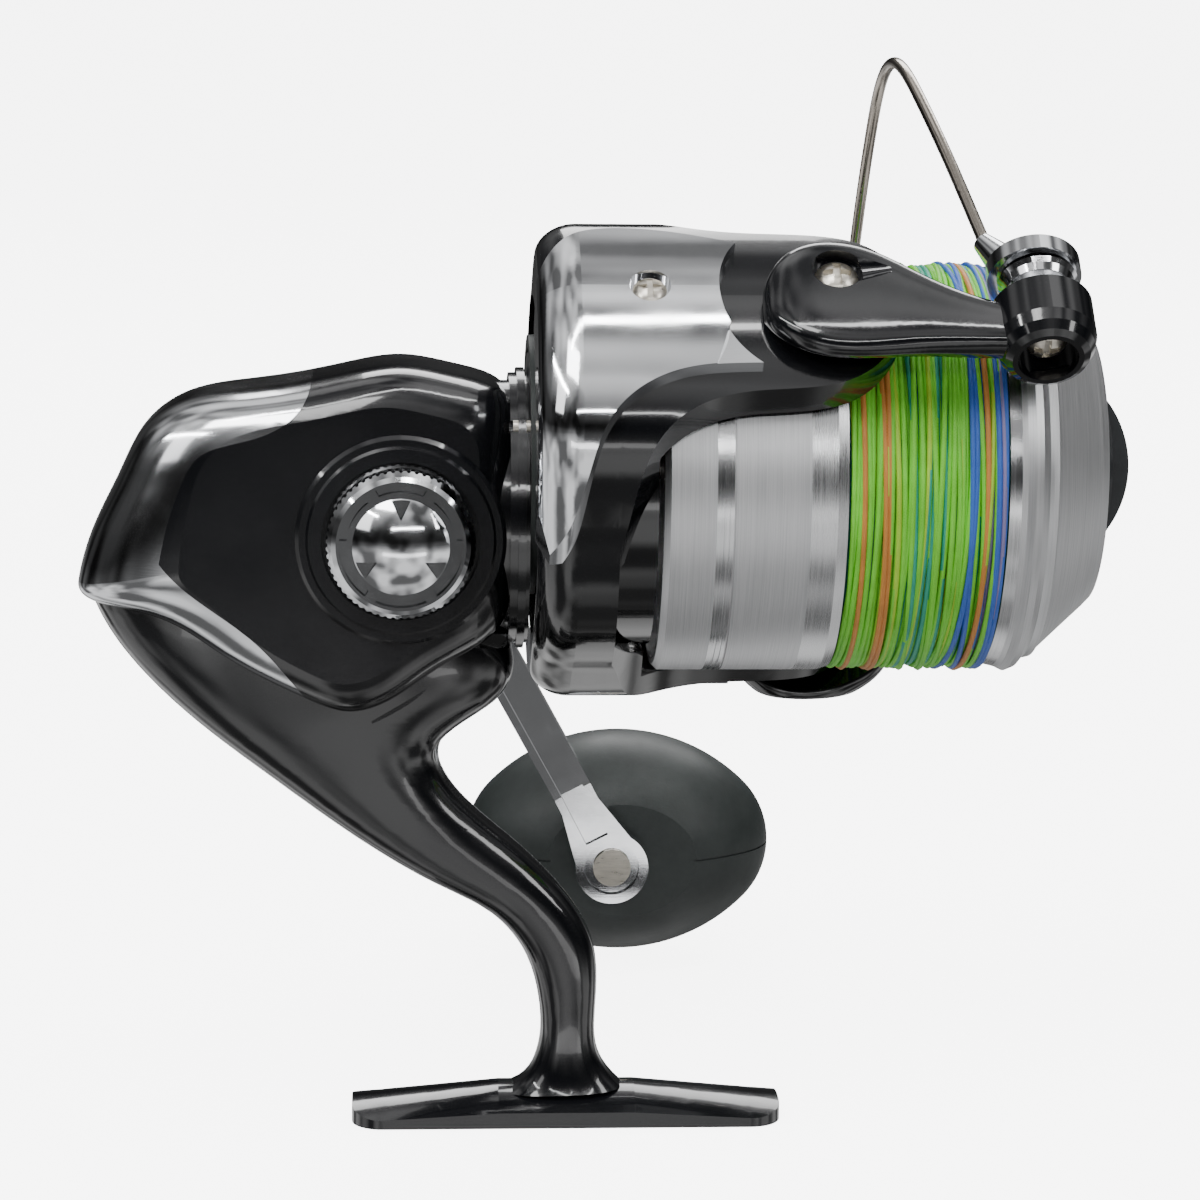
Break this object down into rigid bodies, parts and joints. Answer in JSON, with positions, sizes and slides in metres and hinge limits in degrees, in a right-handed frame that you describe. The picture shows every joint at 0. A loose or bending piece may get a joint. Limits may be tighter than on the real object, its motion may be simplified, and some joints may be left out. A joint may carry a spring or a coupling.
{
  "type": "spinning reel",
  "caption": "Front drag spinning reel with rotor, folding bail, line roller, oscillating spool wound with braided line, cranked handle with an oval knob, and a foot on a curved stem.",
  "frame": {"origin": "centre of the underside of the mounting foot", "axes": "+X forward along the spool axis, towards the drag knob; +Z from the foot towards the body; +Y from the side cover towards the handle"},
  "size_m": [0.1656, 0.1592, 0.1697],
  "materials": {
    "black_paint": "gloss",
    "chrome": "polished",
    "steel": "satin",
    "aluminium": "turned",
    "zinc": "satin",
    "brass": "satin",
    "rubber": "matte",
    "plastic": "satin",
    "line": "braided"
  },
  "bodies": {
    "frame": {"body_frame": "black_paint", "side_cover": "black_paint", "rear_guard": "chrome", "screw_cap": "chrome", "drive_bearing_cover_side": "steel", "drive_bearing_frame_side": "steel", "pinion_bearing_front": "steel", "pinion_bearing_rear": "steel", "clutch_housing": "plastic", "clutch_housing_screws": "steel", "clutch_ring": "steel", "clutch_rollers": "steel", "friction_ring": "rubber", "worm_bushings": "plastic", "slider_guide_rod": "steel", "side_cover_screws": "steel"},
    "drive": {"drive_gear": "zinc", "drive_shaft": "steel", "handle_collar": "black_paint", "handle_arm": "chrome", "knob_shaft": "steel", "handle_screw": "steel"},
    "knob": {"handle_knob": "rubber", "knob_bearings": "steel", "knob_cap": "rubber"},
    "rotor": {"pinion_gear": "brass", "rotor_frame": "black_paint", "arm_cover": "chrome", "plain_arm_cover": "chrome", "arm_cover_screws": "steel", "clutch_sleeve": "steel", "rotor_nut": "brass", "nut_lock_plate": "steel", "nut_plate_screw": "steel", "bail_spring": "steel", "bail_spring_guide": "plastic", "balance_weight": "zinc"},
    "bail": {"bail_lever": "black_paint", "bail_wire": "steel", "wire_cap": "chrome", "bail_mount": "black_paint", "bail_pivot_screws": "steel", "roller_screw": "steel", "roller_bearing": "steel"},
    "roller": {"line_roller": "chrome"},
    "worm": {"worm_shaft": "steel", "worm_gear": "plastic"},
    "carriage": {"main_shaft": "steel", "oscillation_slider": "zinc", "slider_pawl": "steel", "slider_screw": "steel", "spool_seat": "plastic", "drag_washers_keyed": "steel"},
    "spool_group": {"spool": "aluminium", "line_winding": "line", "drag_washers_eared": "steel", "spool_bearing": "steel", "click_ring": "plastic", "retaining_ring": "steel"},
    "drag_control": {"drag_knob": "plastic"}
  },
  "joints": [
    {"name": "handle_spin", "type": "hinge", "parent": "frame", "child": "drive", "pos_m": [-0.0268, 0, 0.0972], "axis": [0, 1, 0], "continuous": true},
    {"name": "knob_spin", "type": "hinge", "parent": "drive", "child": "knob", "pos_m": [0.0117, 0.095, 0.0222], "axis": [0, 1, 0], "continuous": true},
    {"name": "rotor_spin", "type": "hinge", "parent": "frame", "child": "rotor", "pos_m": [0, 0, 0.1065], "axis": [1, 0, 0], "continuous": true},
    {"name": "worm_spin", "type": "hinge", "parent": "frame", "child": "worm", "pos_m": [-0.04, 0.0092, 0.1085], "axis": [1, 0, 0], "continuous": true},
    {"name": "bail_swing", "type": "hinge", "parent": "rotor", "child": "bail", "pos_m": [0.0379, -0.02677, 0.13623], "axis": [0, -0.6691, 0.7431], "range_deg": [-105, 0]},
    {"name": "roller_spin", "type": "hinge", "parent": "bail", "child": "roller", "pos_m": [0.0683, -0.0281, 0.13771], "axis": [0, 0.7431, 0.6691], "continuous": true},
    {"name": "spool_stroke", "type": "slide", "parent": "frame", "child": "carriage", "axis": [1, 0, 0], "range_m": [0, 0.018]},
    {"name": "drag_slip", "type": "hinge", "parent": "carriage", "child": "spool_group", "pos_m": [0.05, 0, 0.1065], "axis": [1, 0, 0], "continuous": true},
    {"name": "drag_knob_turn", "type": "hinge", "parent": "carriage", "child": "drag_control", "pos_m": [0.083, 0, 0.1065], "axis": [1, 0, 0], "range_deg": [-270, 270]}
  ],
  "couplings": [
    {"joint": "rotor_spin", "follows": "handle_spin", "ratio": 4.4444},
    {"joint": "worm_spin", "follows": "handle_spin", "ratio": -2.8571}
  ]
}
